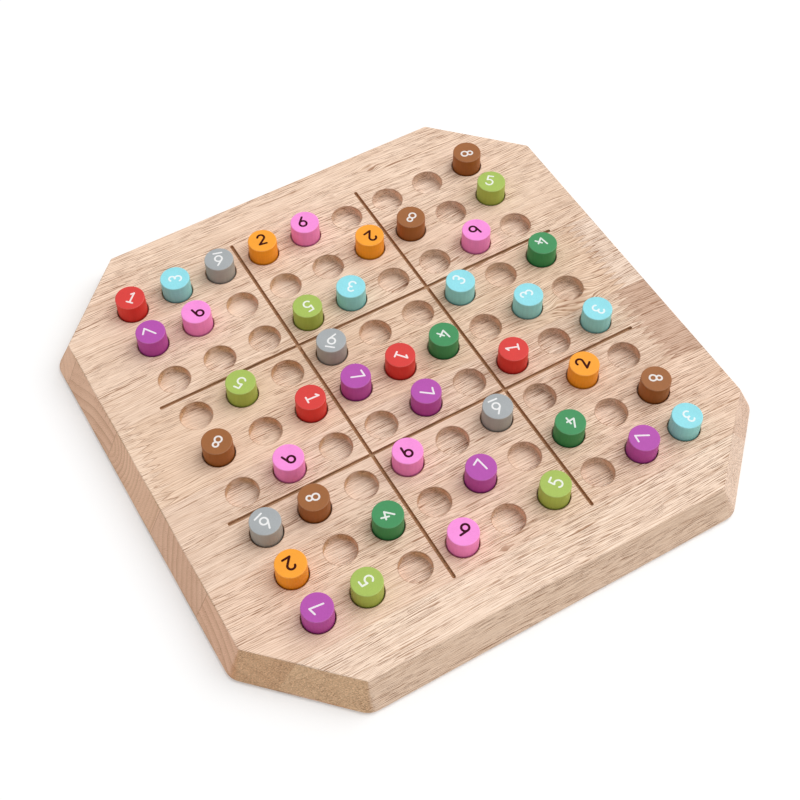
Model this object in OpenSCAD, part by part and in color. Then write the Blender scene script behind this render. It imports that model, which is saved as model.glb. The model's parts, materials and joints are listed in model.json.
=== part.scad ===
// Wooden sudoku board: a glued-up octagonal panel with sloping sides, nine by nine blind holes,
// and loose round pegs. The origin is the middle of the underside, with +Z up and +X along the grain.

/* [Grid] */
// Distance between the middles of neighbouring holes
pitch = 25; // [23:0.5:32]
// Depth of each hole
hole_depth = 5.6; // [4:0.2:10]

/* [Pegs] */
// Diameter of a peg
peg_d = 15; // [10:0.5:17]
// Height of a peg
peg_h = 16; // [13:0.5:26]
// Free space all round a peg in its hole
peg_gap = 0.5; // [0.2:0.05:0.8]
// Width of the bevel round a peg's two ends
peg_bevel = 0.5; // [0.2:0.1:1.5]

/* [Board] */
// Thickness of the board
board_t = 18; // [15:0.5:28]
// Wood left between the grid and the edge of the top face
margin = 24.8; // [22:0.2:40]
// How far each side slopes out from the top face to the underside
side_flare = 8.7; // [2:0.1:12]
// Leg of the triangle that is cut off each corner of the top face
corner_cut = 41.5; // [20:0.5:55]
// Depth of the narrow flat along each upright edge
arris_break = 0.3; // [0.1:0.05:1]
// Width of the broken edge round the top face
top_break = 0.5; // [0.2:0.1:1.5]
// Width of the broken edge round the underside
base_break = 1.5; // [0.5:0.1:3]

/* [Cut lines] */
// Width of the lines that part the grid into blocks
line_w = 1.7; // [1:0.1:3]
// Depth of the lines
line_depth = 1.6; // [0.5:0.1:3.5]
// How far a line runs on past the grid
line_over = 1.2; // [0.5:0.1:1.5]

/* [Glue joints] */
// Distance of each glue line from the middle of the gap between two rows of holes
glue_shift = 2; // [1.8:0.1:2.4]
// Length of the teeth of a finger joint
finger_len = 8; // [4:0.5:12]
// Teeth across one stave
finger_count = 12; // [6:1:16]
// Third stave: distance of its left finger joint from the edge of the top face
third_left_inset = 6.3; // [6.1:0.1:12]
// Third stave: distance of its right finger joint from the edge of the top face
third_right_inset = 13; // [8:0.5:15]
// Fourth stave: distance of its right finger joint from the edge of the top face
fourth_right_inset = 18; // [12:0.5:19]

/* [Hidden] */
$fn = 64;
cells = 9;
block = 3;
last_cell = cells - 1;
hole_d = peg_d + 2 * peg_gap;
grid_half = cells * pitch / 2;
top_half = grid_half + margin;
base_half = top_half + side_flare;
// Distance from the middle to a corner face, at the underside
base_corner = (2 * top_half - corner_cut) / sqrt(2) + side_flare;
slope = atan(side_flare / board_t);
// The eight faces meet at upright edges half way between them
face_turn = 45;
half_turn = face_turn / 2;
base_arris = (base_half + base_corner) / (2 * cos(half_turn)) - arris_break;
arris_slope = atan(side_flare / cos(half_turn) / board_t);
hole_floor = board_t - hole_depth;
// Longer than any part of the board, for cutting tools and outlines
reach = 2 * base_half;
// Lift of a cutting tool above the face that it cuts
clear = 1;

// Number on the peg in each hole, row by row from the back; 0 is an empty hole
LAYOUT = [
    [1, 3, 6, 2, 9, 0, 0, 0, 8],
    [7, 9, 0, 0, 0, 2, 8, 0, 5],
    [0, 0, 0, 5, 3, 0, 0, 9, 0],
    [0, 5, 0, 6, 0, 0, 3, 0, 4],
    [8, 0, 1, 7, 1, 4, 0, 3, 0],
    [0, 9, 0, 0, 7, 0, 1, 0, 3],
    [6, 8, 0, 9, 0, 6, 0, 2, 0],
    [2, 0, 4, 0, 7, 0, 4, 0, 8],
    [7, 5, 0, 9, 0, 5, 0, 7, 3],
];

// Paint of the pegs 1 to 9
PAINTS = ["crimson", "orange", "skyblue", "seagreen", "yellowgreen", "slategray", "mediumorchid",
          "saddlebrown", "violet"];

// Rows of holes in each stave, from the back stave to the front one
STAVE_ROWS = [[0], [1, 2], [3, 4], [5, 6], [7, 8], []];
last_stave = len(STAVE_ROWS) - 1;

PEGS = [for (row = [0:last_cell]) for (col = [0:last_cell])
            if (LAYOUT[row][col] > 0) [row, col, LAYOUT[row][col]]];

function peg_name(peg) = str("peg_r", peg[0] + 1, "c", peg[1] + 1, "_no", peg[2]);
function hole_x(col) = (col - last_cell / 2) * pitch;
function hole_y(row) = (last_cell / 2 - row) * pitch;

// Glue line on the near side of a stave's last row of holes
function glue_y(k) = hole_y(STAVE_ROWS[k][len(STAVE_ROWS[k]) - 1]) - pitch / 2 - glue_shift;
function stave_back(k) = k == 0 ? reach : glue_y(k - 1);
function stave_front(k) = k == last_stave ? -reach : glue_y(k);

third_left_x = third_left_inset - top_half;
third_right_x = top_half - third_right_inset;
fourth_right_x = top_half - fourth_right_inset;

// Saw-toothed line of a finger joint, from the front of a stave to its back
function finger_line(x, y0, y1) = [
    for (i = [0:2 * finger_count])
        [x + (i % 2 - 0.5) * finger_len, y0 + (y1 - y0) * i / (2 * finger_count)]];

// End of a length of stave: a finger joint at x, or a straight line well outside the board
function end_line(x, y0, y1, outside) =
    is_undef(x) ? [[outside, y0], [outside, y1]] : finger_line(x, y0, y1);
function reversed(points) = [for (i = [len(points) - 1:-1:0]) points[i]];

// Everything beyond a plane through x = distance at height z, tilted by angle
module beyond(distance, z, angle) {
    translate([distance, 0, z])
        rotate([0, angle, 0])
            translate([0, -reach, -reach])
                cube(2 * reach);
}

// Everything outside one side face, with the broken edges above and below it
module outside_of_face(distance) {
    break_angle = 45;
    beyond(distance, 0, -slope);
    beyond(distance - base_break, 0, break_angle);
    beyond(distance - side_flare - top_break, board_t, -break_angle);
}

module board_blank() {
    difference() {
        translate([-reach / 2, -reach / 2, 0])
            cube([reach, reach, board_t]);
        for (side = [0:7])
            rotate(face_turn * side) {
                outside_of_face(side % 2 == 0 ? base_half : base_corner);
                rotate(half_turn)
                    beyond(base_arris, 0, -arris_slope);
            }
    }
}

module holes(rows) {
    for (row = rows)
        for (col = [0:last_cell])
            translate([hole_x(col), hole_y(row), hole_floor])
                cylinder(d = hole_d, h = hole_depth + clear);
}

// Cutting tool of one line along X, with round ends
module line_tool() {
    half = grid_half + line_over - line_w / 2;
    translate([-half, -line_w / 2, board_t - line_depth])
        cube([2 * half, line_w, line_depth + clear]);
    for (end = [-half, half])
        translate([end, 0, board_t - line_depth])
            cylinder(d = line_w, h = line_depth + clear);
}

module lines() {
    for (turn = [0, 90])
        rotate(turn)
            for (side = [-0.5, 0.5])
                translate([0, side * block * pitch, 0])
                    line_tool();
}

// One length of stave k, from the finger joint at left to the one at right
module stave_length(k, left, right, row_list) {
    y0 = stave_front(k);
    y1 = stave_back(k);
    difference() {
        intersection() {
            board_blank();
            linear_extrude(board_t)
                polygon(concat(end_line(left, y0, y1, -reach),
                               reversed(end_line(right, y0, y1, reach))));
        }
        holes(row_list);
        lines();
    }
}

module stave(k, left, right) {
    stave_length(k, left, right, STAVE_ROWS[k]);
}

module stave_1() { color("burlywood") stave(0); }
module stave_2() { color("wheat") stave(1); }
module stave_3_left_end() { color("bisque") stave_length(2, undef, third_left_x, []); }
module stave_3() { color("burlywood") stave(2, third_left_x, third_right_x); }
module stave_3_right_end() { color("wheat") stave_length(2, third_right_x, undef, []); }
module stave_4() { color("bisque") stave(3, undef, fourth_right_x); }
module stave_4_right_end() { color("tan") stave_length(3, fourth_right_x, undef, []); }
module stave_5() { color("wheat") stave(4); }
module stave_6() { color("burlywood") stave(5); }

// A peg standing on the floor of its hole
module peg(place) {
    rim = peg_d / 2 - peg_bevel;
    color(PAINTS[place[2] - 1])
        translate([hole_x(place[1]), hole_y(place[0]), hole_floor])
            rotate_extrude()
                polygon([[0, 0], [rim, 0], [peg_d / 2, peg_bevel], [peg_d / 2, peg_h - peg_bevel],
                         [rim, peg_h], [0, peg_h]]);
}

stave_1();
stave_2();
stave_3_left_end();
stave_3();
stave_3_right_end();
stave_4();
stave_4_right_end();
stave_5();
stave_6();
for (place = PEGS)
    peg(place);
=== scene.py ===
"""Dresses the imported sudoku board: grained wooden staves, painted pegs, printed numbers, stage and camera."""

import json
import math
from collections import namedtuple

import bmesh
import bpy
from bpy.props import FloatProperty, FloatVectorProperty, IntProperty, PointerProperty
from bpy.types import Operator, Panel, PropertyGroup
from mathutils import Matrix, Vector


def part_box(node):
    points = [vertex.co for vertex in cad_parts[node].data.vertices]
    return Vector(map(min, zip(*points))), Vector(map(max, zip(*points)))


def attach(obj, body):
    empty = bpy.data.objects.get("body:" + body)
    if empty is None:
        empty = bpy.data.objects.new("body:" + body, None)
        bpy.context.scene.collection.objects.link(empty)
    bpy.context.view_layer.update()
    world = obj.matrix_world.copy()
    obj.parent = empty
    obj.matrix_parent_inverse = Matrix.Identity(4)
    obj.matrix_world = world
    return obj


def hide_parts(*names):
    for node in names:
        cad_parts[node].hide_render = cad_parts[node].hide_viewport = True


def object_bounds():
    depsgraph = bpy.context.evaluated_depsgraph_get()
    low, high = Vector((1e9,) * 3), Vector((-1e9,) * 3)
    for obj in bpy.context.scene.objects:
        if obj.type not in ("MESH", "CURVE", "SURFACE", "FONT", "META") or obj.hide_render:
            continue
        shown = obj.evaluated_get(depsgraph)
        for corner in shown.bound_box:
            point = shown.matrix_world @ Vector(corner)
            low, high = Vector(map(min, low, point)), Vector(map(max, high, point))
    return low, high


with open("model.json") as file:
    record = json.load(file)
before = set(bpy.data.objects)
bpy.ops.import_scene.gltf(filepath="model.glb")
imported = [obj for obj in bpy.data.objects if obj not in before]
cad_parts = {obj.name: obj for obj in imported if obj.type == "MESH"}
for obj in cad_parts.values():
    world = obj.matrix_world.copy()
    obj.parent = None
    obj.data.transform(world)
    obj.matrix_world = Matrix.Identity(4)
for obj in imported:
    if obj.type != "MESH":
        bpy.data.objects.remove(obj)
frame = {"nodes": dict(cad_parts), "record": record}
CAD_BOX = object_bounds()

bl_info = {
    "name": "Sudoku board",
    "version": (1, 0, 0),
    "blender": (4, 5, 0),
    "location": "View3D > Sidebar > Sudoku board",
    "description": "Wooden sudoku board with painted number pegs, its stage and its camera",
    "category": "Object",
}

MM = 0.001
BOARD_BODY = "board"
RECORD = frame["record"]


def linear(red, green, blue):
    """A screen colour of 0 to 255 per channel as the linear colour that shaders take."""
    def channel(value):
        share = value / 255
        return share / 12.92 if share <= 0.04045 else ((share + 0.055) / 1.055) ** 2.4
    return channel(red), channel(green), channel(blue)


# Places that the frame gives

Peg = namedtuple("Peg", "node row column number foot top_z radius")


def read_pegs():
    """Every peg of the frame, with its place read from its name and its box."""
    pegs = []
    for node in sorted(name for name in frame["nodes"] if name.startswith("peg_")):
        _, place, number = node.split("_")
        row, column = place[1:].split("c")
        low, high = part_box(node)
        middle = (low + high) / 2
        foot = Vector((middle.x, middle.y, low.z))
        pegs.append(Peg(node, int(row), int(column), int(number[2:]), foot, high.z, (high.x - low.x) / 2))
    return pegs


PEGS = read_pegs()
STAVES = sorted(name for name in frame["nodes"] if name.startswith("stave_"))
TOP_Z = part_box("stave_1")[1].z
HOLE_FLOOR_Z = PEGS[0].foot.z
HOLE_RADIUS = max(mount["dims"].get("r_mm", 0) for mount in RECORD["mounts"]) * MM
CELLS = 9
BLOCK = 3
MIDDLE_CELL = (CELLS + 1) / 2
PITCH = abs(PEGS[-1].foot.x / (PEGS[-1].column - MIDDLE_CELL))
GRID_HALF = CELLS * PITCH / 2
LINE_SHIFT = BLOCK * PITCH / 2
FAR = 1.0  # well past the board


# Sizes and colours that a user would change

def a_number(name, words, value, **kind):
    """A number for the sidebar."""
    return FloatProperty(name=name, description=words, default=value, **kind)


def a_length(name, words, millimetres):
    """A length for the sidebar."""
    return a_number(name, words, millimetres * MM, unit="LENGTH")


def a_colour(name, words, *screen):
    """A colour for the sidebar, given as it looks on screen."""
    return FloatVectorProperty(name=name, description=words, default=linear(*screen), size=3, subtype="COLOR")


def a_place(name, words, *metres):
    """A point for the sidebar."""
    return FloatVectorProperty(name=name, description=words, default=metres, size=3, subtype="TRANSLATION")


class SUDOKU_PG_board(PropertyGroup):
    """Sizes of the board's edges and cut lines, and the tones of its wood."""

    margin: a_length("Margin", "Wood between the grid and the edge of the top face", 24.8)
    side_flare: a_length("Side flare", "How far a side slopes out from the top face to the underside", 8.7)
    corner_cut: a_length("Corner cut", "Leg of the triangle cut off each corner of the top face", 41.5)
    top_round: a_length("Top rounding", "Radius of the edge round the top face", 0.7)
    base_round: a_length("Base rounding", "Radius of the edge round the underside", 1.6)
    top_arris: a_length("Upright rounding, top", "Radius of an upright edge at the top face", 1.5)
    base_arris: a_length("Upright rounding, base", "Radius of an upright edge at the underside", 11)
    rim_round: a_length("Rim rounding", "Radius of a hole's rim, twice that of a cut line's", 0.3)
    line_width: a_length("Line width", "Width of the lines that part the grid", 1.7)
    line_depth: a_length("Line depth", "Depth of the lines that part the grid", 1.6)
    line_over: a_length("Line overrun", "How far a line runs on past the grid", 1.2)
    teeth: IntProperty(name="Teeth", description="Teeth of a finger joint across one stave", default=12)
    pore: a_colour("Pores", "Colour of the open pores in the wood", 146, 100, 70)
    line_along: a_colour("Lines along", "Colour of the wood in the lines cut along the grain", 178, 139, 107)
    line_across: a_colour("Lines across", "Colour of the wood in the lines cut across the grain", 186, 142, 106)


class SUDOKU_PG_pegs(PropertyGroup):
    """The pegs' rounding and their nine paints."""

    edge_round: a_length("Edge rounding", "Radius of a peg's two edges", 0.45)
    paint_1: a_colour("Paint 1", "Red of the ones", 212, 50, 44)
    paint_2: a_colour("Paint 2", "Orange of the twos", 242, 156, 28)
    paint_3: a_colour("Paint 3", "Light blue of the threes", 140, 216, 226)
    paint_4: a_colour("Paint 4", "Dark green of the fours", 54, 138, 82)
    paint_5: a_colour("Paint 5", "Light green of the fives", 160, 184, 82)
    paint_6: a_colour("Paint 6", "Grey of the sixes", 160, 164, 166)
    paint_7: a_colour("Paint 7", "Purple of the sevens", 174, 70, 166)
    paint_8: a_colour("Paint 8", "Brown of the eights", 150, 90, 38)
    paint_9: a_colour("Paint 9", "Pink of the nines", 240, 138, 212)


class SUDOKU_PG_numbers(PropertyGroup):
    """Size and ink of the printed numbers."""

    height: a_length("Height", "Height of a number, from middle to middle of its strokes", 6.3)
    white_stroke: a_length("White stroke", "Width of a stroke in white ink", 0.90)
    black_stroke: a_length("Black stroke", "Width of a stroke in black ink", 1.15)
    rise: a_length("Rise", "Thickness of the ink on the paint", 0.04)
    white: a_colour("White ink", "Ink of most numbers", 252, 251, 250)
    black: a_colour("Black ink", "Ink of the twos and the nines, a very dark red", 54, 0, 10)
    white_through: a_number("Through white", "Share of the paint that shows through white ink", 0.24)
    black_through: a_number("Through black", "Share of the paint that shows through black ink", 0.015)


class SUDOKU_PG_stage(PropertyGroup):
    """Camera, lamp and sky."""

    camera_place: a_place("Camera", "Place of the camera", -0.20668, -0.36169, 0.59531)
    camera_aim: a_place("Aim", "Point that the camera looks at", -0.01007, -0.01708, 0.018)
    camera_roll: a_number("Roll", "Turn of the camera about its line of sight", math.radians(0.5), subtype="ANGLE")
    lens: a_number("Lens", "Focal length for a frame 36 mm wide, in millimetres", 64.49)
    lamp_place: a_place("Lamp", "Place of the large soft lamp", 3.90, 0.06, 6.00)
    lamp_power: a_number("Lamp power", "Power of the large soft lamp, in watts", 408.0)
    sky: a_number("Sky", "Strength of the even light from all round", 0.58)


PROPERTY_HOLDERS = {
    "sudoku_board": SUDOKU_PG_board,
    "sudoku_pegs": SUDOKU_PG_pegs,
    "sudoku_numbers": SUDOKU_PG_numbers,
    "sudoku_stage": SUDOKU_PG_stage,
}


# Shader nodes

class Graph:
    """Short calls that place shader nodes in one tree and join them."""

    def __init__(self, tree):
        self.tree = tree
        self.tree.nodes.clear()

    def join(self, value, socket):
        """Link an output to a socket, or set a constant on it."""
        if isinstance(value, bpy.types.NodeSocket):
            self.tree.links.new(value, socket)
        elif socket.type == "RGBA" and len(value) == 3:
            socket.default_value = (*value, 1.0)
        else:
            socket.default_value = value

    def add(self, kind, inputs=None, **settings):
        """A node with these settings, and with links or constants on these of its inputs."""
        node = self.tree.nodes.new(kind)
        for name, value in settings.items():
            setattr(node, name, value)
        for socket, value in (inputs or {}).items():
            self.join(value, node.inputs[socket])
        return node

    def math(self, operation, first, second=0.0, clamp=False):
        node = self.add("ShaderNodeMath", {0: first, 1: second}, operation=operation, use_clamp=clamp)
        return node.outputs[0]

    def total(self, *values, clamp=False):
        """The sum of several values."""
        result = values[0]
        for value in values[1:]:
            result = self.math("ADD", result, value, clamp=clamp and value is values[-1])
        return result

    def less(self, first, second):
        return self.math("SUBTRACT", first, second)

    def times(self, *values):
        """The product of several values."""
        result = values[0]
        for value in values[1:]:
            result = self.math("MULTIPLY", result, value)
        return result

    def positive(self, value):
        """A value without its sign."""
        return self.math("ABSOLUTE", value)

    def vector(self, operation, first, second):
        other = "Scale" if operation == "SCALE" else 1
        node = self.add("ShaderNodeVectorMath", {0: first, other: second}, operation=operation)
        return node.outputs["Vector"]

    def parts(self, vector):
        return self.add("ShaderNodeSeparateXYZ", {0: vector}).outputs

    def whole(self, x, y, z):
        return self.add("ShaderNodeCombineXYZ", {0: x, 1: y, 2: z}).outputs[0]

    def length(self, x, y):
        """Length of a flat vector."""
        return self.math("SQRT", self.total(self.times(x, x), self.times(y, y)))

    def noise(self, place, spread, detail=2.0, roughness=0.5):
        """Noise from 0 to 1, with spread features per millimetre along each axis."""
        return self.add("ShaderNodeTexNoise", {
            "Vector": self.vector("MULTIPLY", place, spread), "Scale": 1.0, "Detail": detail,
            "Roughness": roughness}).outputs["Fac"]

    def sway(self, place, spread, detail=2.0, roughness=0.5):
        """Noise from -0.5 to 0.5."""
        return self.less(self.noise(place, spread, detail, roughness), 0.5)

    def step(self, value, low, high, start=0.0, end=1.0):
        """Smooth change from start at low to end at high."""
        return self.add("ShaderNodeMapRange", {
            "Value": value, "From Min": low, "From Max": high, "To Min": start, "To Max": end},
            interpolation_type="SMOOTHSTEP").outputs["Result"]

    def mix(self, share, first, second, blend="MIX"):
        """First colour changed towards the second by a share."""
        # Inputs 0, 6 and 7 are the share and the two colours, and output 2 is the colour that they make
        node = self.add("ShaderNodeMix", {0: share, 6: first, 7: second}, data_type="RGBA", blend_type=blend)
        return node.outputs[2]

    def tinted(self, mask, colour, tint):
        """A colour multiplied by a tint, as far as a mask says."""
        return self.mix(mask, colour, self.mix(1.0, colour, tint, "MULTIPLY"))


COLOUR, NUMBER, VECTOR = "NodeSocketColor", "NodeSocketFloat", "NodeSocketVector"
WHITE = (1.0, 1.0, 1.0)


def new_group(name, inputs, outputs):
    """An empty shader node group, its sockets named by kind: its graph and the inner ends of its sockets."""
    tree = bpy.data.node_groups.new(name, "ShaderNodeTree")
    for way, sockets in (("INPUT", inputs), ("OUTPUT", outputs)):
        for kind, names in sockets.items():
            for socket in names:
                tree.interface.new_socket(socket, in_out=way, socket_type=kind)
    graph = Graph(tree)
    return graph, graph.add("NodeGroupInput").outputs, graph.add("NodeGroupOutput").inputs


def place_group(graph, name, values):
    """A node group placed in a material with its own values: its outputs."""
    return graph.add("ShaderNodeGroup", values, node_tree=bpy.data.node_groups[name]).outputs


def new_material(name):
    """A new material, its graph, and the place on the object in millimetres."""
    material = bpy.data.materials.new(name)
    material.use_nodes = True
    graph = Graph(material.node_tree)
    position = graph.add("ShaderNodeTexCoord").outputs["Object"]
    return material, graph, graph.vector("SCALE", position, 1 / MM)


WOOD_SHINE, LINE_SHINE, PAINT_SHINE, INK_SHINE = 0.15, 0.1, 0.22, 0.05


def finish_surface(graph, colour, roughness, height, bump, shine):
    """A material's shader, from colour, roughness, a bump of that depth in millimetres and how much it shines."""
    relief = graph.add("ShaderNodeBump", {"Height": height, "Distance": bump * MM})
    shader = graph.add("ShaderNodeBsdfPrincipled", {
        "Base Color": colour, "Roughness": roughness, "Specular IOR Level": shine,
        "Normal": relief.outputs["Normal"]})
    graph.add("ShaderNodeOutputMaterial", {"Surface": shader.outputs[0]})


# How finely the features of the wood lie: features per millimetre along X, Y and Z

SLOW_BENDS, QUICK_BENDS = (0.006, 0.022, 0.022), (0.030, 0.110, 0.110)
CLOUDS, CROWDS = (0.008, 0.030, 0.030), (0.014, 0.11, 0.11)
BROAD_STREAKS, STREAKS = (0.008, 0.14, 0.14), (0.024, 0.55, 0.55)
LINE_WAVES, LINE_BREAKS = (0.014, 0.40, 0.40), (0.05, 1.1, 1.1)
PORE_DASHES, FINE_PORES, PALE_RAYS = (0.13, 1.1, 1.1), (0.09, 3.4, 3.4), (0.055, 2.60, 2.60)
GLUE_PATCHES, SEAM_PATCHES, CUT_SPECKS = (0.16, 0.13, 0.13), (0.018, 0.0, 0.0), (1.3, 1.3, 1.3)
LINE_STREAKS = (0.10, 1.4, 1.4)

# The same per ring, so that neighbouring rings differ in strength
RING_LOTS = (0.37, 1.0, 1.0)

# Other measures of the wood in millimetres, and how much more pores crowd per millimetre to the right
WOOD_APART = (71.3, 13.7, 29.1)
QUICK_BEND, LINE_WAVE, LINE_GAP = 1.8, 3.6, 0.95
FADE_REACH = 75.0
CROWD_PER_MM = 0.0007
WOOD_RELIEF, LINE_RELIEF = 0.12, 0.1

# Shares: how deep pores, fine pores and streaks are in the relief, how much fainter pores are on the end grain,
# how far the fine lines lean, and how a knot stretches and pushes the grain
WOOD_HEIGHTS = (-0.8, -0.35, 0.3)
END_LOSS, LINE_LEAN, KNOT_STRETCH, KNOT_PUSH = 0.7, 0.8, 0.75, -0.75

# Shares of the darker tone that each feature adds
CLOUD_TONE, BROAD_TONE, STREAK_TONE, EVEN_TONE = 0.8, 0.32, 0.18, 0.30
RING_TONE, END_RING_TONE, LEAST_HAIR = 0.35, 0.40, 0.65

# Shares by which each feature covers the wood's colour
RAY_SHARE, PORE_SHARE, FINE_SHARE, RING_SHARE = 0.45, 0.72, 0.40, 0.22
KNOT_SHARE, GLUE_SHARE, RIM_SHARE, SEAM_SHARE = 0.30, 0.58, 0.40, 0.55

# Colours by which the faces other than the top are multiplied: on the cut corners and the ends the warmer colour of
# end grain with painted shade, darker on the left than on the right; on the long sides painted shade; on the hole
# floors painted light
LEFT_CUT_GRAIN_AND_SHADE, RIGHT_CUT_GRAIN_AND_SHADE = (0.79, 0.67, 0.51), (0.875, 0.85, 0.84)
LEFT_END_GRAIN_AND_SHADE, RIGHT_END_GRAIN_AND_SHADE = (0.965, 0.81, 0.715), (0.95, 0.87, 0.80)
LONG_SIDE_PAINTED_SHADE = (0.855, 0.815, 0.772)
HOLE_FLOOR_PAINTED_LIGHT = (1.02, 1.07, 1.12)


def make_knot_group():
    """How far the grain bends round one knot, and how dark the knot is."""
    graph, given, result = new_group(
        "Grain round a knot",
        {VECTOR: ["Position", "Middle"], NUMBER: ["Radius"]}, {NUMBER: ["Push", "Knot"]})
    offset = graph.parts(graph.vector("SUBTRACT", given["Position"], given["Middle"]))
    distance = graph.length(graph.times(offset["X"], KNOT_STRETCH), offset["Y"])
    reach = graph.math("DIVIDE", distance, given["Radius"])
    nearer = graph.math("MAXIMUM", graph.times(reach, reach), 1.0)
    graph.join(graph.times(graph.math("DIVIDE", offset["Y"], nearer), KNOT_PUSH), result["Push"])
    graph.join(graph.step(reach, 0.10, 1.30, 1.0, 0.0), result["Knot"])


def make_grain_group():
    """Pale wood with growth rings about a heart line, streaks along the grain and short open pores."""
    graph, given, result = new_group(
        "Board grain",
        {VECTOR: ["Position", "Heart"], NUMBER: ["Ring gap", "Lean", "Bend", "Fade", "Push", "Seed", "End"],
         COLOUR: ["Pale", "Dark", "Pore"]},
        {COLOUR: ["Color"], NUMBER: ["Roughness", "Height"]})
    place = graph.vector("ADD", given["Position"], graph.vector("SCALE", WOOD_APART, given["Seed"]))
    along = graph.parts(given["Position"])["X"]
    slow = graph.times(graph.sway(place, SLOW_BENDS), given["Bend"])
    quick = graph.times(graph.sway(place, QUICK_BENDS), QUICK_BEND)
    shift = graph.total(slow, quick, given["Push"], graph.times(along, given["Lean"]))
    grain = graph.vector("ADD", place, graph.whole(0.0, shift, 0.0))

    offset = graph.parts(graph.vector("SUBTRACT", given["Position"], given["Heart"]))
    radius = graph.length(graph.total(offset["Y"], shift), offset["Z"])
    rings = graph.math("DIVIDE", radius, given["Ring gap"])
    phase = graph.math("FRACT", rings)
    late = graph.less(graph.step(phase, 0.25, 0.90), graph.step(phase, 0.90, 1.0))
    which = graph.whole(graph.math("FLOOR", rings), given["Seed"], 0.5)
    strong = graph.noise(which, RING_LOTS, 0.0)
    late = graph.times(late, strong, graph.total(graph.times(given["End"], END_RING_TONE), RING_TONE))

    cloud = graph.sway(place, CLOUDS)
    broad = graph.sway(grain, BROAD_STREAKS, 2.0, 0.55)
    streak = graph.sway(grain, STREAKS, 3.0, 0.6)
    crowd = graph.total(graph.noise(place, CROWDS), graph.times(along, CROWD_PER_MM))
    crowd = graph.step(crowd, 0.32, 0.60, 0.25, 1.0)
    side = graph.less(1.0, graph.times(given["End"], END_LOSS))
    spot = graph.parts(grain)
    lines = graph.total(spot["Y"], graph.times(spot["Z"], LINE_LEAN),
                        graph.times(graph.sway(grain, LINE_WAVES, 3.0, 0.6), LINE_WAVE))
    lines = graph.math("SINE", graph.times(lines, math.tau / LINE_GAP))
    broken = graph.step(graph.noise(grain, LINE_BREAKS, 1.0), 0.38, 0.62)
    hair = graph.times(lines, broken, side, graph.total(crowd, LEAST_HAIR))
    fade = graph.times(graph.step(along, 0.0, FADE_REACH), given["Fade"])
    tone = graph.total(late, graph.times(cloud, CLOUD_TONE), graph.times(broad, BROAD_TONE),
                       graph.times(streak, STREAK_TONE), hair, fade, EVEN_TONE, clamp=True)
    colour = graph.mix(tone, given["Pale"], given["Dark"])

    dashes = graph.step(graph.noise(grain, PORE_DASHES, 1.0), 0.47, 0.57)
    pores = graph.times(graph.step(lines, 0.2, 0.8), dashes, graph.times(crowd, side))
    fine = graph.times(graph.step(graph.noise(grain, FINE_PORES, 1.0), 0.54, 0.63), side)
    rays = graph.step(graph.noise(grain, PALE_RAYS, 1.0), 0.55, 0.66)
    line = graph.less(graph.step(phase, 0.84, 0.90), graph.step(phase, 0.93, 1.0))
    line = graph.times(line, given["End"], graph.step(strong, 0.40, 0.60))
    for mask, share, over in ((rays, RAY_SHARE, "Pale"), (pores, PORE_SHARE, "Pore"),
                              (graph.times(fine, crowd), FINE_SHARE, "Pore"), (line, RING_SHARE, "Pore")):
        colour = graph.mix(graph.times(mask, share), colour, given[over])
    graph.join(colour, result["Color"])
    graph.join(graph.total(graph.times(pores, 0.15), 0.50), result["Roughness"])
    height = graph.total(*map(graph.times, (pores, fine, streak), WOOD_HEIGHTS))
    graph.join(height, result["Height"])


def make_joint_group():
    """Mask of the dark glue in a saw-toothed finger joint."""
    graph, given, result = new_group(
        "Finger joint glue",
        {VECTOR: ["Position"], NUMBER: ["Middle", "Length", "Front", "Tooth"]}, {NUMBER: ["Glue"]})
    place = graph.parts(given["Position"])
    along = graph.math("DIVIDE", graph.less(place["Y"], given["Front"]), given["Tooth"])
    tooth = graph.less(graph.times(graph.math("PINGPONG", along, 0.5), 2.0), 0.5)
    line = graph.total(graph.times(tooth, given["Length"]), given["Middle"])
    gap = graph.positive(graph.less(place["X"], line))
    rise = graph.math("DIVIDE", given["Tooth"], graph.times(given["Length"], 2.0))
    glue = graph.step(graph.times(gap, rise), 0.08, 0.32, 1.0, 0.0)
    patchy = graph.step(graph.noise(given["Position"], GLUE_PATCHES), 0.38, 0.62, 0.15, 1.0)
    graph.join(graph.times(glue, patchy), result["Glue"])


def make_rim_group():
    """Mask of a thin ring of wood round the rims of the holes, where the wood is darkened."""
    graph, given, result = new_group("Hole rims", {VECTOR: ["Position"]}, {NUMBER: ["Rim"]})
    place = graph.parts(given["Position"])
    offsets, within = [], 1.0
    for axis in ("X", "Y"):
        cell = graph.total(graph.math("DIVIDE", place[axis], PITCH / MM), 0.5)
        offsets.append(graph.times(graph.less(graph.math("FRACT", cell), 0.5), PITCH / MM))
        far = graph.positive(place[axis])
        within = graph.times(graph.math("LESS_THAN", far, GRID_HALF / MM), within)
    gap = graph.less(graph.length(*offsets), HOLE_RADIUS / MM)
    ring = graph.step(graph.positive(gap), 0.25, 0.60, 1.0, 0.0)
    high = graph.step(place["Z"], TOP_Z / MM - 0.8, TOP_Z / MM - 0.3)
    graph.join(graph.times(ring, high, within), result["Rim"])


# Features of paint and ink per millimetre along X, Y and Z, their relief in millimetres, and the painted highlight,
# painted shade and painted sheen on the pegs

PAINT_APART = (91.0, 37.0, 53.0)
FIBRES, TURNING_MARKS = (1.5, 1.5, 0.06), (0.03, 0.03, 1.4)
BLOTCHES, SPOTS, INK_LAY = (0.16, 0.16, 0.16), (2.4, 2.4, 2.4), (1.5, 1.5, 1.5)
PAINT_RELIEF, INK_RELIEF = 0.02, 0.005
# A painted highlight on the pegs' rounded top edges: its pale colour and its share
PAINTED_EDGE_HIGHLIGHT, PAINTED_EDGE_HIGHLIGHT_SHARE = (1.0, 0.95, 0.90), 0.12
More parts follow.
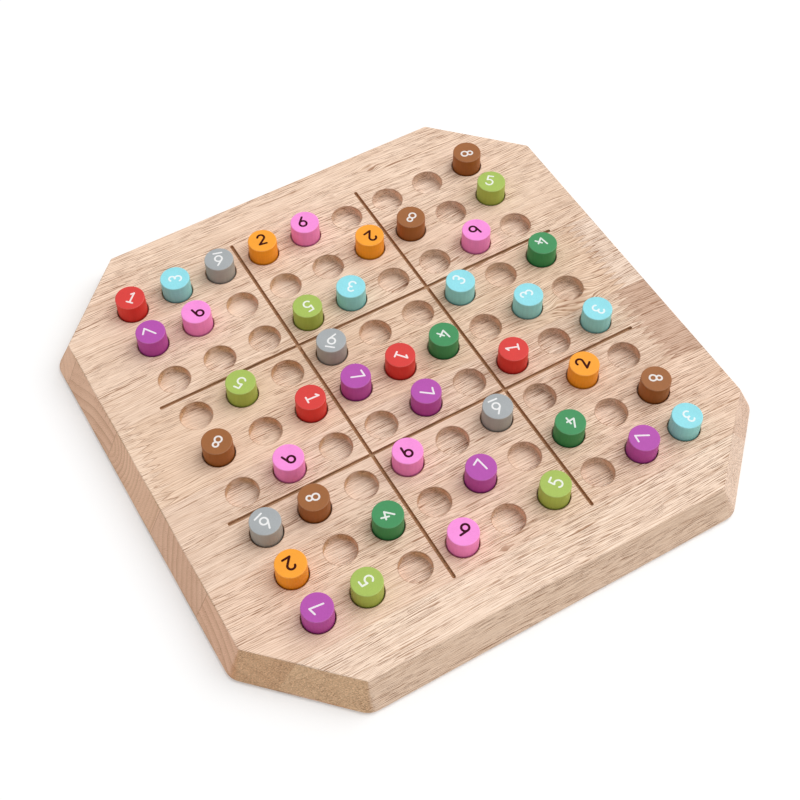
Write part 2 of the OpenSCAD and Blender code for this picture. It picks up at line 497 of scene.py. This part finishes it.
# Painted shade: the pegs' sides are multiplied by this warmer, deeper tint
PAINTED_SIDE_SHADE = (1.08, 0.98, 0.86)
# The two foot tones on this line darken the paint round each peg's foot: painted shade
PAINT_TONES, PAINT_HEIGHTS, PAINTED_FOOT_SHADE = (0.20, 0.14, 0.14), (0.6, 0.5, 0.5), (-0.15, -0.12)
# Painted sheen: the share by which the pegs' tops pale towards white
PAINTED_TOP_SHEEN = 0.015


def make_paint_group():
    """Satin paint on turned wood: fibres and turning marks, soft blotches, a painted highlight along the top edge,
    painted shade round the foot and on the sides, and a painted sheen on the top.
    """
    graph, given, result = new_group(
        "Peg paint",
        {VECTOR: ["Position"], COLOUR: ["Paint"], NUMBER: ["Seed", "Radius", "Height", "Sunk", "Top"]},
        {COLOUR: ["Color"], NUMBER: ["Roughness", "Height"]})
    place = graph.vector("ADD", given["Position"], graph.vector("SCALE", PAINT_APART, given["Seed"]))
    fibre = graph.sway(place, FIBRES)
    turned = graph.sway(place, TURNING_MARKS)
    blotch = graph.sway(place, BLOTCHES)
    spot = graph.noise(place, SPOTS, 1.0)
    shade = graph.total(*map(graph.times, (fibre, turned, blotch), PAINT_TONES), 1.0)
    colour = graph.vector("SCALE", given["Paint"], shade)
    here = graph.parts(given["Position"])
    # A painted highlight along the rounded top edge, made patchy by a noise
    rim = graph.step(graph.less(given["Radius"], graph.length(here["X"], here["Y"])), 0.0, 0.5, 1.0, 0.0)
    crown = graph.step(graph.less(given["Height"], here["Z"]), 0.0, 0.5, 1.0, 0.0)
    painted_edge_highlight = graph.times(rim, crown, graph.step(spot, 0.30, 0.70, 0.35, 1.0))
    colour = graph.mix(graph.times(painted_edge_highlight, PAINTED_EDGE_HIGHLIGHT_SHARE), colour, PAINTED_EDGE_HIGHLIGHT)
    # Painted shade round the foot: a dark band where the peg meets the board's top stands in for the shadow in the
    # gap, and the paint darkens up to 6 mm above the board
    above = graph.less(here["Z"], given["Sunk"])
    painted_gap_shade = graph.times(graph.step(above, -1.3, -0.7), graph.step(above, 0.1, 0.8, 1.0, 0.0))
    low = graph.times(graph.step(above, 0.0, 6.0, 1.0, 0.0), graph.step(above, -1.3, -0.7))
    painted_foot_shade = graph.total(*map(graph.times, (painted_gap_shade, low), PAINTED_FOOT_SHADE), 1.0)
    colour = graph.vector("SCALE", colour, painted_foot_shade)
    # Painted shade deepens the sides, and a painted sheen pales the top
    colour = graph.mix(given["Top"], graph.mix(1.0, colour, PAINTED_SIDE_SHADE, "MULTIPLY"),
                       graph.mix(PAINTED_TOP_SHEEN, colour, WHITE))
    graph.join(colour, result["Color"])
    graph.join(graph.total(graph.times(spot, 0.16), 0.38), result["Roughness"])
    height = graph.total(*map(graph.times, (fibre, turned, spot), PAINT_HEIGHTS))
    graph.join(height, result["Height"])


# Wood of each length of stave: middle tone on screen, heart line (y, z), ring gap, lean and bend of the grain,
# seed, how much it darkens to the right, and knots (x, y, radius)

Timber = namedtuple("Timber", "tone heart gap lean bend seed fade knots", defaults=(0.0, ()))
TIMBERS = {
    "stave_1": Timber((235, 205, 181), (150, -60), 4.2, 0.010, 10.0, 1.0, 0.0,
                      [(52.5, 126.0, 2.6), (25.0, 117.5, 1.8)]),
    "stave_2": Timber((231, 201, 177), (40, -75), 5.0, -0.030, 16.0, 2.0),
    "stave_3_left_end": Timber((233, 203, 178), (30, 8), 3.0, 0.050, 6.0, 3.0),
    "stave_3": Timber((229, 197, 171), (70, 66), 4.6, 0.012, 16.0, 4.0, 0.22, [(98.5, -8.5, 7.5)]),
    "stave_3_right_end": Timber((232, 205, 184), (10, -45), 4.0, -0.040, 7.0, 5.0),
    "stave_4": Timber((228, 198, 175), (-95, 40), 4.4, -0.014, 9.0, 6.0, 0.28),
    "stave_4_right_end": Timber((202, 167, 144), (-20, -50), 3.4, 0.060, 12.0, 7.0),
    "stave_5": Timber((231, 199, 175), (-60, -80), 4.8, 0.012, 9.0, 8.0, 0.06, [(-10.0, -112.3, 1.4)]),
    "stave_6": Timber((237, 209, 186), (-170, -20), 3.2, -0.008, 7.0, 9.0),
}
PALE_SHARE, DARK_SHARE = Vector((1.12, 1.17, 1.21)), Vector((0.835, 0.79, 0.745))

# Finger joints that the board's edge cuts through, so that little more than their glue is left: middle and length
EDGE_JOINTS = {"stave_2": (-133.5 * MM, 9.0 * MM)}


def finger_joint(left, right):
    """Middle and length of the finger joint between two lengths of stave, which overlap by their teeth."""
    start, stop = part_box(right)[0].x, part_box(left)[1].x
    return (start + stop) / 2, stop - start


def stave_joints(node):
    """The finger joints at a stave's left and right ends, or None where it runs to the edge."""
    if node.endswith("_left_end"):
        return None, finger_joint(node, node.removesuffix("_left_end"))
    if node.endswith("_right_end"):
        return finger_joint(node.removesuffix("_right_end"), node), None
    left, right = node + "_left_end", node + "_right_end"
    return (finger_joint(left, node) if left in STAVES else None,
            finger_joint(node, right) if right in STAVES else None)


def make_stave_wood(node, board):
    """The wood of one length of stave, with its own tone and rings."""
    timber = TIMBERS[node]
    material, graph, position = new_material("Wood of " + node)
    pore = tuple(board.pore)
    push, knot_dark = 0.0, 0.0
    for x, y, radius in timber.knots:
        knot = place_group(graph, "Grain round a knot", {
            "Position": position, "Middle": (x, y, TOP_Z / MM), "Radius": radius})
        push, knot_dark = graph.total(knot["Push"], push), graph.total(knot["Knot"], knot_dark)
    middle = Vector(linear(*timber.tone))
    normal = graph.parts(graph.add("ShaderNodeNewGeometry").outputs["Normal"])
    end = graph.math("MAXIMUM", graph.step(graph.positive(normal["X"]), 0.50, 0.85),
                     graph.step(graph.positive(normal["Z"]), 0.05, 0.30, 1.0, 0.0))
    grain = place_group(graph, "Board grain", {
        "Position": position, "Heart": (0.0, *timber.heart), "Ring gap": timber.gap, "Lean": timber.lean,
        "Bend": timber.bend, "Fade": timber.fade, "Push": push, "Seed": timber.seed, "End": end,
        "Pale": middle * PALE_SHARE, "Dark": middle * DARK_SHARE, "Pore": pore})
    colour = grain["Color"]
    if timber.knots:
        colour = graph.mix(graph.times(knot_dark, KNOT_SHARE), colour, pore)
    front, back = (corner.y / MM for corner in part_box(node))
    for joint in (*stave_joints(node), EDGE_JOINTS.get(node)):
        if joint:
            glue = place_group(graph, "Finger joint glue", {
                "Position": position, "Middle": joint[0] / MM, "Length": joint[1] / MM, "Front": front,
                "Tooth": (back - front) / board.teeth})["Glue"]
            colour = graph.mix(graph.times(glue, GLUE_SHARE), colour, pore)
    rim = place_group(graph, "Hole rims", {"Position": position})["Rim"]
    colour = graph.mix(graph.times(rim, RIM_SHARE), colour, pore)
    place = graph.parts(position)
    patchy = graph.step(graph.noise(position, SEAM_PATCHES), 0.35, 0.68)
    slant = graph.step(graph.positive(graph.times(normal["X"], normal["Y"])), 0.10, 0.40)
    flat = graph.less(1.0, graph.times(slant, 0.8))
    for edge in (front, back):
        seam = graph.step(graph.positive(graph.less(place["Y"], edge)), 0.05, 0.30, SEAM_SHARE, 0.0)
        colour = graph.mix(graph.times(seam, patchy, flat), colour, pore)
    # The cut corners take the warmer colour of their end grain and painted shade, darker and warmer on the left than
    # on the right
    tint = graph.mix(graph.step(place["X"], -60, 60), LEFT_CUT_GRAIN_AND_SHADE, RIGHT_CUT_GRAIN_AND_SHADE)
    colour = graph.tinted(slant, colour, tint)
    speck = graph.times(graph.sway(position, CUT_SPECKS), slant)
    colour = graph.vector("SCALE", colour, graph.total(speck, 1.0))
    # The ends take the warmer colour of their end grain and painted shade, deeper on the left end than on the right
    across = graph.step(graph.positive(normal["X"]), 0.65, 0.90)
    tint = graph.mix(graph.step(normal["X"], -0.5, 0.5), LEFT_END_GRAIN_AND_SHADE, RIGHT_END_GRAIN_AND_SHADE)
    colour = graph.tinted(across, colour, tint)
    # Painted shade: the long sides are darker and yellower than the top
    along = graph.step(graph.positive(normal["Y"]), 0.70, 0.90)
    colour = graph.tinted(along, colour, LONG_SIDE_PAINTED_SHADE)
    # Painted light: the hole floors are paler and cooler than the wood elsewhere
    floor = graph.times(graph.step(normal["Z"], 0.8, 0.95), graph.step(
        place["Z"], (HOLE_FLOOR_Z + TOP_Z) / 2 / MM, HOLE_FLOOR_Z / MM + 0.5))
    colour = graph.tinted(floor, colour, HOLE_FLOOR_PAINTED_LIGHT)
    finish_surface(graph, colour, grain["Roughness"], grain["Height"], WOOD_RELIEF, WOOD_SHINE)
    return material


def make_line_wood(name, colour):
    """The darker brown wood inside the cut lines."""
    material, graph, position = new_material(name)
    streak = graph.noise(position, LINE_STREAKS, 3.0)
    dark = Vector(colour)
    colour = graph.mix(graph.step(streak, 0.3, 0.7), dark * 0.75, dark * 1.25)
    rough = graph.total(graph.times(streak, 0.2), 0.6)
    finish_surface(graph, colour, rough, streak, LINE_RELIEF, LINE_SHINE)
    return material


def make_paint(number, colour, seed):
    """Satin paint of the pegs with this number."""
    material, graph, position = new_material(f"Paint of the pegs numbered {number}")
    peg = PEGS[0]
    # Sunk places the painted shade round each peg's foot
    paint = place_group(graph, "Peg paint", {
        "Position": position, "Seed": seed, "Paint": tuple(colour),
        "Radius": peg.radius / MM, "Height": (peg.top_z - peg.foot.z) / MM, "Sunk": (TOP_Z - peg.foot.z) / MM,
        # Top parts the painted sheen on the top from the painted shade on the sides
        "Top": graph.step(graph.parts(graph.add("ShaderNodeNewGeometry").outputs["Normal"])["Z"], 0.5, 0.9)})
    finish_surface(graph, paint["Color"], paint["Roughness"], paint["Height"], PAINT_RELIEF, PAINT_SHINE)
    return material


def make_ink(number, colour, paint, through):
    """Printing ink with a slightly uneven lay, that lets some of the paint below show through."""
    material, graph, position = new_material(f"Print on the pegs numbered {number}")
    lay = graph.noise(position, INK_LAY)
    tone = Vector(colour).lerp(Vector(paint), through)
    shade = graph.mix(graph.step(lay, 0.3, 0.7), tone * 0.92, tone)
    rough = graph.total(graph.times(lay, 0.15), 0.45)
    finish_surface(graph, shade, rough, lay, INK_RELIEF, INK_SHINE)
    return material


# Meshes

def finished_mesh(name, solid):
    """The mesh of a solid that is done, which is then dropped."""
    mesh = bpy.data.meshes.new(name)
    solid.to_mesh(mesh)
    solid.free()
    return mesh


def new_object(name, shape):
    """An object in the scene with this mesh, lamp or lens, or with the mesh of this solid."""
    data = finished_mesh(name, shape) if isinstance(shape, bmesh.types.BMesh) else shape
    item = bpy.data.objects.new(name, data)
    bpy.context.scene.collection.objects.link(item)
    return item


def add_loft(solid, rings, closed=False):
    """A skin over rings of as many points each, with flat ends or, where closed, joined end to end."""
    loops = [[solid.verts.new(point) for point in ring] for ring in rings]
    count = len(loops[0])
    for lower, upper in zip(loops, loops[1:] + loops[:1] if closed else loops[1:]):
        for i in range(count):
            j = (i + 1) % count
            solid.faces.new((lower[i], lower[j], upper[j], upper[i]))
    if not closed:
        solid.faces.new(reversed(loops[0]))
        solid.faces.new(loops[-1])


def circle(x, y, z, radius, sides):
    """Points of a level circle."""
    turns = [math.tau * i / sides for i in range(sides)]
    return [(x + radius * math.cos(turn), y + radius * math.sin(turn), z) for turn in turns]


def fillet(before, corner, after, radius, steps):
    """Points of the arc that rounds a corner between two straight lines, all 2-D."""
    back, on = (before - corner).normalized(), (after - corner).normalized()
    half = back.angle(on) / 2
    middle = corner + (back + on).normalized() * (radius / math.sin(half))
    start = corner + back * (radius / math.tan(half)) - middle
    turn = start.angle_signed(corner + on * (radius / math.tan(half)) - middle)
    return [middle + Matrix.Rotation(-turn * i / steps, 2) @ start for i in range(steps + 1)]


SIDES = 8


def octagon(straight, slanted, radius, z, steps=6):
    """The board's outline at one height: distances to its four sides and its four cut corners, rounded between."""
    eighth = math.tau / SIDES

    def corner(i):
        first, second = (straight, slanted) if i % 2 == 0 else (slanted, straight)
        side = (second - first * math.cos(eighth)) / math.sin(eighth)
        outward = Vector((math.cos(eighth * i), math.sin(eighth * i)))
        return outward * first + Vector((-outward.y, outward.x)) * side

    corners = [corner(i) for i in range(SIDES)]
    points = []
    for i in range(SIDES):
        points += fillet(corners[i - 1], corners[i], corners[(i + 1) % SIDES], radius, steps)
    return [(point.x, point.y, z) for point in points]


def board_rings(board):
    """Outlines of the board from its underside up to its top face, round both edges."""
    base_half = GRID_HALF + board.margin + board.side_flare
    base_corner = (2 * (GRID_HALF + board.margin) - board.corner_cut) / math.sqrt(2) + board.side_flare
    inner, foot, head = Vector((-FAR, 0)), Vector((0, 0)), Vector((-board.side_flare, TOP_Z))
    profile = fillet(inner, foot, head, board.base_round, 6)
    profile += fillet(foot, head, Vector((-FAR, TOP_Z)), board.top_round, 6)
    rings = []
    for point in profile:
        share = point.y / TOP_Z
        arris = board.base_arris + (board.top_arris - board.base_arris) * share
        rings.append(octagon(base_half + point.x, base_corner + point.x, arris, point.y))
    return rings


def rim_profile(floor, rim, steps=4, degrees=16, past=1 * MM):
    """Offsets and heights of a cutting tool's wall: straight up, over a rounded rim, and on past the top face."""
    profile = [(0.0, floor)]
    for i in range(steps + 1):
        turn = math.radians(degrees * i)
        profile.append((rim * (1 - math.cos(turn)), TOP_Z - rim * (1 - math.sin(turn))))
    offset, z = profile[-1]
    profile.append((offset + past * math.sin(turn), z + past * math.cos(turn)))
    return profile


def add_hole_tool(solid, x, y, rim, sides=96):
    """A cutting tool for one blind hole."""
    profile = rim_profile(HOLE_FLOOR_Z, rim)
    add_loft(solid, [circle(x, y, z, HOLE_RADIUS + offset, sides) for offset, z in profile])


def add_line_tool(solid, board, shift, along_x, steps=10):
    """A cutting tool for one line with round ends, shift away from the middle."""
    half = board.line_width / 2
    reach = GRID_HALF + board.line_over - half
    rings = []
    for offset, z in rim_profile(TOP_Z - board.line_depth, board.rim_round / 2):
        ring = []
        for end in (1, -1):
            for i in range(steps + 1):
                turn = math.pi * (i / steps - 0.5)
                u = end * (reach + (half + offset) * math.cos(turn))
                v = end * (half + offset) * math.sin(turn)
                ring.append((u, shift + v, z) if along_x else (shift - v, u, z))
        rings.append(ring)
    add_loft(solid, rings)


def stave_outline(node, teeth):
    """Plan of one length of stave, well past the board where it runs to the edge."""
    low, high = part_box(node)
    front = low.y if low.y > CAD_BOX[0][1] + MM else -FAR
    back = high.y if high.y < CAD_BOX[1][1] - MM else FAR

    def end(joint, outside):
        if joint is None:
            return [(outside, front), (outside, back)]
        middle, length = joint
        return [(middle + (i % 2 - 0.5) * length, front + (back - front) * i / (2 * teeth))
                for i in range(2 * teeth + 1)]

    left, right = stave_joints(node)
    return end(right, FAR) + end(left, -FAR)[::-1]


def cut(item, tool, operation):
    """Cut an object by a tool object, and drop the tool."""
    change = item.modifiers.new("cut", "BOOLEAN")
    change.operation = operation
    change.solver = "MANIFOLD"
    change.object = tool
    bpy.context.view_layer.update()
    mesh = bpy.data.meshes.new_from_object(item.evaluated_get(bpy.context.evaluated_depsgraph_get()))
    item.modifiers.clear()
    item.data = mesh
    bpy.data.objects.remove(tool)


def drilled_board(board):
    """The whole board with its holes and lines, before it is parted into staves."""
    blank = bmesh.new()
    add_loft(blank, board_rings(board))
    item = new_object("blank", blank)
    tools = bmesh.new()
    for row in range(1, CELLS + 1):
        for column in range(1, CELLS + 1):
            add_hole_tool(tools, (column - MIDDLE_CELL) * PITCH, (MIDDLE_CELL - row) * PITCH, board.rim_round)
    for shift in (-LINE_SHIFT, LINE_SHIFT):
        add_line_tool(tools, board, shift, along_x=True)
    cut(item, new_object("drills", tools), "DIFFERENCE")
    tools = bmesh.new()
    for shift in (-LINE_SHIFT, LINE_SHIFT):
        add_line_tool(tools, board, shift, along_x=False)
    cut(item, new_object("cutters", tools), "DIFFERENCE")
    return item


SQUARE_ON = 0.9999


def shade_by_form(mesh, board):
    """Flat faces stay flat, rounded ones shade smoothly, and the faces of the cut lines take their own materials."""
    slope = math.atan2(board.side_flare, TOP_Z)
    reach = GRID_HALF + board.line_over
    for face in mesh.polygons:
        normal, place = face.normal, face.center
        level = abs(normal.z) > SQUARE_ON
        turn = math.atan2(normal.y, normal.x) / (math.tau / SIDES)
        side = abs(normal.z - math.sin(slope)) < 0.01 and abs(turn - round(turn)) < 0.02
        upright = abs(normal.z) < 0.001 and max(abs(normal.x), abs(normal.y)) > SQUARE_ON
        face.use_smooth = not (level or side or upright)
        sides = (abs(abs(place.x) - LINE_SHIFT), abs(abs(place.y) - LINE_SHIFT))
        in_line = min(sides) < board.line_width * 0.6 and max(abs(place.x), abs(place.y)) < reach
        # The rounded rims of a line, just under the top face, keep the stave's own wood
        if in_line and TOP_Z - board.line_depth - MM / 10 < place.z < TOP_Z - MM / 50:
            face.material_index = 2 if sides[0] < sides[1] else 1


class SUDOKU_OT_staves(Operator):
    """Build the board from its lengths of stave, with holes, cut lines and finger joints"""

    bl_idname = "sudoku.staves"
    bl_label = "Board staves"

    def execute(self, context):
        board = context.scene.sudoku_board
        make_knot_group()
        make_grain_group()
        make_joint_group()
        make_rim_group()
        along = make_line_wood("Line cut along the grain", board.line_along)
        across = make_line_wood("Line cut across the grain", board.line_across)
        whole = drilled_board(board)
        for node in STAVES:
            prism = bmesh.new()
            outline = stave_outline(node, board.teeth)
            add_loft(prism, [[(x, y, z) for x, y in outline] for z in (-TOP_Z, 2 * TOP_Z)])
            stave = new_object("wood_" + node, whole.data.copy())
            cut(stave, new_object("saw", prism), "INTERSECT")
            stave.data.name = stave.name
            stave.data.materials.clear()
            for material in (make_stave_wood(node, board), along, across):
                stave.data.materials.append(material)
            shade_by_form(stave.data, board)
            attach(stave, BOARD_BODY)
            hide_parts(node)
        bpy.data.objects.remove(whole)
        return {"FINISHED"}


def peg_mesh(name, radius, height, rounding, sides=80, steps=5):
    """A turned peg with rounded edges, standing on the origin."""
    profile = []
    for middle, begin in ((rounding, -90), (height - rounding, 0)):
        for i in range(steps + 1):
            turn = math.radians(begin + 90 * i / steps)
            profile.append((radius - rounding + rounding * math.cos(turn), middle + rounding * math.sin(turn)))
    solid = bmesh.new()
    add_loft(solid, [circle(0, 0, z, r, sides) for r, z in profile])
    for face in solid.faces:
        face.smooth = len(face.verts) == 4
    return finished_mesh(name, solid)


class SUDOKU_OT_pegs(Operator):
    """Turn and paint the pegs that stand in the holes"""

    bl_idname = "sudoku.pegs"
    bl_label = "Painted pegs"

    def execute(self, context):
        pegs = context.scene.sudoku_pegs
        make_paint_group()
        meshes = {}
        for number in range(1, CELLS + 1):
            first = PEGS[0]
            mesh = peg_mesh(f"peg_{number}", first.radius, first.top_z - first.foot.z, pegs.edge_round)
            mesh.materials.append(make_paint(number, getattr(pegs, f"paint_{number}"), float(number)))
            meshes[number] = mesh
        for peg in PEGS:
            item = new_object(f"painted_{peg.node}", meshes[peg.number].copy())
            item.location = peg.foot
            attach(item, peg.node)
            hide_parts(peg.node)
        return {"FINISHED"}


# Printed numbers: strokes in shares of the height, about the number's middle

def arc(x, y, radius, start, stop, steps=28):
    """Points on a circle from one angle to another, in degrees anticlockwise from +X."""
    turns = [math.radians(start + (stop - start) * i / steps) for i in range(steps + 1)]
    return [(x + radius * math.cos(turn), y + radius * math.sin(turn)) for turn in turns]


LOOP_AND_TAIL = [arc(0.0, -0.20, 0.29, 90, 450, 40),
                 [(0.15, 0.50), (-0.05, 0.225)] + arc(0.0, -0.20, 0.29, 145, 175, 4)]
NUMBER_STROKES = {
    1: [[(-0.17, 0.30), (0.03, 0.48)], [(0.03, 0.48), (0.03, -0.50)], [(-0.22, -0.50), (0.28, -0.50)]],
    2: [arc(0.0, 0.21, 0.28, 165, -38) + [(-0.29, -0.50)], [(-0.29, -0.50), (0.30, -0.50)]],
    3: [arc(0.0, 0.25, 0.24, 150, -90), arc(0.0, -0.23, 0.27, 90, -150)],
    4: [[(0.06, 0.50), (-0.32, -0.18)], [(-0.32, -0.18), (0.32, -0.18)], [(0.13, 0.08), (0.13, -0.50)]],
    5: [[(0.24, 0.50), (-0.17, 0.50)], [(-0.17, 0.50), (-0.21, 0.07)], arc(-0.02, -0.19, 0.30, 122, -150)],
    6: [*LOOP_AND_TAIL, [(-0.34, -0.79), (0.34, -0.79)]],
    7: [[(-0.29, 0.48), (0.28, 0.48)], [(0.28, 0.48), (-0.10, -0.50)]],
    8: [arc(0.0, 0.26, 0.21, 90, 450, 32), arc(0.0, -0.22, 0.27, 90, 450, 36)],
    9: [[(-x, -y) for x, y in stroke] for stroke in LOOP_AND_TAIL],
}
DARK_NUMBERS = (2, 9)

# How each number is printed, row by row: which way its top points, in degrees clockwise from +Y, and how far
# it lies off the peg's middle along X and Y, in millimetres; None is an empty hole
PRINTS = (
    ((47, .8, -.4), (295, 0, -.4), (197, -.4, -.8), (10, 0, .8), (186, -1, .8), None, None, None, (107, -.4, -.8)),
    ((305, -.4, 0), (131, .4, -1), None, None, None, (167, .4, -1), (237, 0, -.4), None, (40, -.4, 1)),
    (None, None, None, (174, .4, -.4), (223, .4, -.4), None, None, (314, -.4, .4), None),
    (None, (237, -.4, -.4), None, (41, .8, .4), None, None, (334, -.4, 1), None, (140, 0, 1)),
    ((230, 0, -.4), None, (93, 1, -.8), (90, .8, -.4), (141, .4, -1), (142, 0, 0), None, (278, -.8, .8), None),
    (None, (121, -.4, -1), None, None, (107, 0, -.8), None, (290, -.4, .8), None, (153, 0, -.8)),
    ((159, 0, -1), (285, -.4, 0), None, (146, -1, -.4), None, (184, -.8, -.8), None, (322, -.8, .8), None),
    ((175, -.4, 0), None, (105, -.4, -.4), None, (330, .8, 1), None, (177, .4, -.4), None, (120, 0, .4)),
    ((255, 0, 0), (263, 0, .4), None, (47, .8, .4), None, (325, .4, .4), None, (277, -.4, 1), (173, .4, -.8)),
)


def add_stroke(solid, path, half, low, high):
    """One printed stroke: a low ridge along a smooth path, with round ends unless the path closes."""
    path = [Vector(point) for point in path]
    closed = (path[0] - path[-1]).length < half / 10
    if closed:
        path.pop()
    section = ((1, low), (1, high * 0.5), (0.85, high), (-0.85, high), (-1, high * 0.5), (-1, low))
    cap = [] if closed else [math.radians(angle) for angle in (15, 30, 45, 60, 75, 85)]
    last = len(path) - 1
    rings = []
    for i, point in enumerate(path):
        before = path[i - 1] if i or closed else point
        after = path[(i + 1) % len(path)] if i < last or closed else point
        along = (after - before).normalized()
        start = [-turn for turn in reversed(cap)] if i == 0 else []
        stop = cap if i == last else []
        for turn in (*start, 0.0, *stop):
            middle = point + along * half * math.sin(turn)
            across = Vector((-along.y, along.x)) * (half * math.cos(turn))
            rings.append([(*(middle + across * share), z) for share, z in section])
    add_loft(solid, rings, closed)


class SUDOKU_OT_numbers(Operator):
    """Print the numbers on the pegs"""

    bl_idname = "sudoku.numbers"
    bl_label = "Printed numbers"

    def execute(self, context):
        numbers = context.scene.sudoku_numbers
        inks = {}
        for number in range(1, CELLS + 1):
            paint = getattr(context.scene.sudoku_pegs, f"paint_{number}")
            if number in DARK_NUMBERS:
                inks[number] = make_ink(number, numbers.black, paint, numbers.black_through)
            else:
                inks[number] = make_ink(number, numbers.white, paint, numbers.white_through)
        for peg in PEGS:
            dark = peg.number in DARK_NUMBERS
            width = numbers.black_stroke if dark else numbers.white_stroke
            solid = bmesh.new()
            # Each stroke stands a little higher than the last, so that where two cross their tops share no plane
            for i, stroke in enumerate(NUMBER_STROKES[peg.number]):
                path = [(x * numbers.height, y * numbers.height) for x, y in stroke]
                add_stroke(solid, path, width / 2, -numbers.rise / 2, numbers.rise * (1 + i / 8))
            bmesh.ops.recalc_face_normals(solid, faces=solid.faces)
            item = new_object(f"number_r{peg.row}c{peg.column}", solid)
            item.data.materials.append(inks[peg.number])
            turn, shift_x, shift_y = PRINTS[peg.row - 1][peg.column - 1]
            item.location = (peg.foot.x + shift_x * MM, peg.foot.y + shift_y * MM, peg.top_z)
            item.rotation_euler.z = -math.radians(turn)
            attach(item, peg.node)
        return {"FINISHED"}


FLOOR_HALF, FLOOR_WHITE, FLOOR_GLOW = 3.0, 0.95, 0.20
LAMP_SIZE, FILM_WIDTH = 6.6, 36.0


def blend_where_seen(graph, lighting, seen, share, end):
    """Two shaders joined to an output: the second by a share of what the camera or a reflection sees."""
    rays = graph.add("ShaderNodeLightPath").outputs
    direct = graph.math("MAXIMUM", rays["Is Camera Ray"],
                        graph.math("MAXIMUM", rays["Is Glossy Ray"], rays["Is Transmission Ray"]))
    blend = graph.add("ShaderNodeMixShader", {
        0: graph.times(direct, share), 1: lighting.outputs[0], 2: seen.outputs[0]})
    graph.add(end, {"Surface": blend.outputs[0]})


def make_floor_material():
    """White floor that keeps the board's shadow."""
    material = bpy.data.materials.new("White floor")
    material.use_nodes = True
    graph = Graph(material.node_tree)
    matt = graph.add("ShaderNodeBsdfDiffuse", {"Color": (FLOOR_WHITE, FLOOR_WHITE, FLOOR_WHITE)})
    glow = graph.add("ShaderNodeEmission", {"Color": WHITE, "Strength": 1.0})
    blend_where_seen(graph, matt, glow, FLOOR_GLOW, "ShaderNodeOutputMaterial")
    return material


def make_sky(strength):
    """Even white light from all round, seen as plain white."""
    world = bpy.data.worlds.new("Studio")
    world.use_nodes = True
    graph = Graph(world.node_tree)
    even = graph.add("ShaderNodeBackground", {"Color": WHITE, "Strength": strength})
    plain = graph.add("ShaderNodeBackground", {"Color": WHITE, "Strength": 1.0})
    blend_where_seen(graph, even, plain, 1.0, "ShaderNodeOutputWorld")
    return world


def look_from(place, aim):
    """Rotation that turns an object's -Z axis from place to aim, with its +Y axis up."""
    return (Vector(aim) - Vector(place)).to_track_quat("-Z", "Y").to_matrix().to_4x4()


class SUDOKU_OT_stage(Operator):
    """Set the floor, the lamp and the camera"""

    bl_idname = "sudoku.stage"
    bl_label = "Stage"

    def execute(self, context):
        scene, stage = context.scene, context.scene.sudoku_stage
        scene.view_settings.view_transform = "Standard"
        ground = bmesh.new()
        bmesh.ops.create_grid(ground, x_segments=1, y_segments=1, size=FLOOR_HALF)
        floor = new_object("floor", ground)
        floor.data.materials.append(make_floor_material())
        scene.world = make_sky(stage.sky)
        light = bpy.data.lights.new("lamp", "AREA")
        light.shape = "SQUARE"
        light.size = LAMP_SIZE
        light.energy = stage.lamp_power
        lamp = new_object("lamp", light)
        lamp.matrix_world = Matrix.Translation(stage.lamp_place) @ look_from(stage.lamp_place, (0, 0, TOP_Z))
        lens = bpy.data.cameras.new("camera")
        lens.sensor_width = FILM_WIDTH
        lens.lens = stage.lens
        camera = new_object("camera", lens)
        camera.matrix_world = (Matrix.Translation(stage.camera_place)
                               @ look_from(stage.camera_place, stage.camera_aim)
                               @ Matrix.Rotation(-stage.camera_roll, 4, "Z"))
        scene.camera = camera
        return {"FINISHED"}


class SUDOKU_PT_sidebar(Panel):
    """The steps that make the board, and their sizes and colours"""

    bl_idname = "SUDOKU_PT_sidebar"
    bl_label = "Sudoku board"
    bl_space_type = "VIEW_3D"
    bl_region_type = "UI"
    bl_category = "Sudoku board"

    def draw(self, context):
        for step, holder in zip(STEPS, PROPERTY_HOLDERS):
            box = self.layout.box()
            box.operator(step.bl_idname)
            values = getattr(context.scene, holder)
            for name in values.__annotations__:
                box.prop(values, name)


STEPS = (SUDOKU_OT_staves, SUDOKU_OT_pegs, SUDOKU_OT_numbers, SUDOKU_OT_stage)
CLASSES = (*PROPERTY_HOLDERS.values(), *STEPS, SUDOKU_PT_sidebar)


def register():
    for each in CLASSES:
        bpy.utils.register_class(each)
    for name, holder in PROPERTY_HOLDERS.items():
        setattr(bpy.types.Scene, name, PointerProperty(type=holder))


def unregister():
    for name in PROPERTY_HOLDERS:
        delattr(bpy.types.Scene, name)
    for each in reversed(CLASSES):
        bpy.utils.unregister_class(each)


def main():
    register()
    bpy.ops.sudoku.staves()
    bpy.ops.sudoku.pegs()
    bpy.ops.sudoku.numbers()
    bpy.ops.sudoku.stage()


if __name__ == "__main__":
    main()
